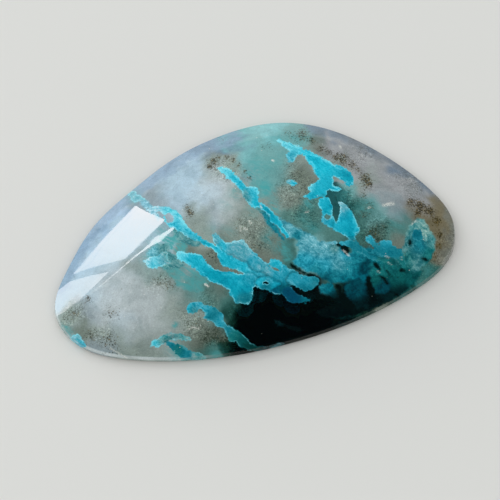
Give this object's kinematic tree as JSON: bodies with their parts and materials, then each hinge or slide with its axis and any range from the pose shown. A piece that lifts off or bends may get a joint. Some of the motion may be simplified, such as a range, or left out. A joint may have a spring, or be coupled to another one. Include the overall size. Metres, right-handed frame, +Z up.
{
  "type": "gem silica cabochon",
  "caption": "Free-form polished cabochon of gem silica, chrysocolla in translucent chalcedony, with a flat back, thin girdle and low dome.",
  "frame": {"origin": "middle of the outline box of the stone, on the flat back", "axes": "+X along the stone's length, towards its right-hand tip; +Y across it, away from the straighter long side; +Z up, out of the dome"},
  "size_m": [0.0362, 0.0212, 0.0049],
  "materials": {
    "chalcedony": "polished"
  },
  "bodies": {
    "root": {"cabochon": "chalcedony"}
  },
  "joints": []
}
